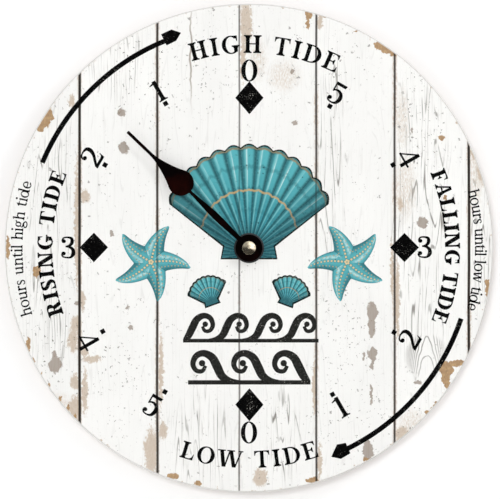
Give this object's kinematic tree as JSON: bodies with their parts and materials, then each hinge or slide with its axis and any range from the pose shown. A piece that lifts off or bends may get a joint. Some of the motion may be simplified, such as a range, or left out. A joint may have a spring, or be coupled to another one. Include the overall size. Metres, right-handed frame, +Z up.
{
  "type": "tide clock",
  "caption": "Round wall tide clock: a flat printed board with a central tide hand and cone nut, turned by a battery movement behind it that hangs by a keyhole plate.",
  "frame": {"origin": "centre of the round part of the hanger plate's keyhole, in the middle of the plate's thickness", "axes": "+Z up and +X right as the dial is read, +Y from the dial towards the wall"},
  "size_m": [0.2666, 0.0342, 0.2667],
  "materials": {
    "board_print": "printed whitewashed planks on fibreboard, satin",
    "hand_black": "satin black lacquer",
    "cap_metal": "polished, pale",
    "washer_steel": "nickel plated",
    "bushing_brass": "turned",
    "collet_brass": "turned",
    "arbor_steel": "ground",
    "gasket_rubber": "matt",
    "hanger_steel": "zinc plated",
    "case_black": "moulded, fine texture",
    "knob_black": "moulded",
    "wheel_white": "moulded acetal",
    "bridge_grey": "moulded",
    "magnet_grey": "sintered",
    "lamination": "stamped",
    "bobbin_green": "moulded",
    "winding_copper": "enamelled wire",
    "screw_steel": "plated",
    "circuit_green": "solder mask",
    "chip_epoxy": "potted",
    "crystal_can": "tinned",
    "contact_steel": "nickel plated spring steel",
    "battery_sleeve": "plain printed sleeve on a steel can"
  },
  "bodies": {
    "clock_body": {"dial_board": "board_print", "front_washer": "washer_steel", "mounting_nut": "bushing_brass", "threaded_bushing": "bushing_brass", "rubber_gasket": "gasket_rubber", "hanger_plate": "hanger_steel", "front_plate": "case_black", "rear_case": "case_black", "bridge_plate": "bridge_grey", "stator": "lamination", "coil_core": "lamination", "coil_bobbin": "bobbin_green", "coil_winding": "winding_copper", "stator_screws": "screw_steel", "circuit_board": "circuit_green", "clock_chip": "chip_epoxy", "quartz_crystal": "crystal_can", "positive_contact": "contact_steel", "negative_contact": "contact_steel"},
    "hand_body": {"tide_hand": "hand_black", "hand_collet": "collet_brass", "cap_nut": "cap_metal", "tide_arbor": "arbor_steel", "hour_wheel": "wheel_white"},
    "intermediate_body": {"intermediate_wheel": "wheel_white"},
    "cannon_body": {"cannon_pinion": "wheel_white"},
    "setting_body": {"setting_arbor": "wheel_white", "setting_knob": "knob_black"},
    "centre_body": {"centre_arbor": "arbor_steel", "centre_wheel": "wheel_white"},
    "third_body": {"third_wheel": "wheel_white"},
    "fourth_body": {"fourth_wheel": "wheel_white"},
    "rotor_body": {"rotor_pinion": "wheel_white", "rotor_magnet": "magnet_grey"},
    "battery_body": {"battery": "battery_sleeve"}
  },
  "joints": [
    {"name": "hand_turn", "type": "hinge", "parent": "clock_body", "child": "hand_body", "pos_m": [0, -0.0165, -0.03876], "axis": [0, 1, 0], "continuous": true},
    {"name": "intermediate_turn", "type": "hinge", "parent": "clock_body", "child": "intermediate_body", "pos_m": [-0.008, -0.0104, -0.03276], "axis": [0, 1, 0], "continuous": true},
    {"name": "cannon_turn", "type": "hinge", "parent": "clock_body", "child": "cannon_body", "pos_m": [0, -0.0104, -0.03876], "axis": [0, 1, 0], "continuous": true},
    {"name": "setting_turn", "type": "hinge", "parent": "clock_body", "child": "setting_body", "pos_m": [-0.01842, 0.0002, -0.03276], "axis": [0, 1, 0], "continuous": true},
    {"name": "rotor_turn", "type": "hinge", "parent": "clock_body", "child": "rotor_body", "pos_m": [0.00437, -0.0025, -0.02225], "axis": [0, 1, 0], "continuous": true},
    {"name": "fourth_turn", "type": "hinge", "parent": "clock_body", "child": "fourth_body", "pos_m": [0.01142, -0.0046, -0.02482], "axis": [0, 1, 0], "continuous": true},
    {"name": "third_turn", "type": "hinge", "parent": "clock_body", "child": "third_body", "pos_m": [0.00909, -0.006, -0.03351], "axis": [0, 1, 0], "continuous": true},
    {"name": "centre_turn", "type": "hinge", "parent": "clock_body", "child": "centre_body", "pos_m": [0, -0.0074, -0.03876], "axis": [0, 1, 0], "continuous": true},
    {"name": "battery_slide", "type": "slide", "parent": "clock_body", "child": "battery_body", "axis": [0, 1, 0], "range_m": [0, 0.02]}
  ],
  "couplings": [
    {"joint": "intermediate_turn", "follows": "hand_turn", "ratio": -4},
    {"joint": "cannon_turn", "follows": "hand_turn", "ratio": 12},
    {"joint": "setting_turn", "follows": "hand_turn", "ratio": 10.286},
    {"joint": "fourth_turn", "follows": "rotor_turn", "ratio": -0.25},
    {"joint": "third_turn", "follows": "rotor_turn", "ratio": 0.05},
    {"joint": "centre_turn", "follows": "rotor_turn", "ratio": -0.0083333}
  ]
}
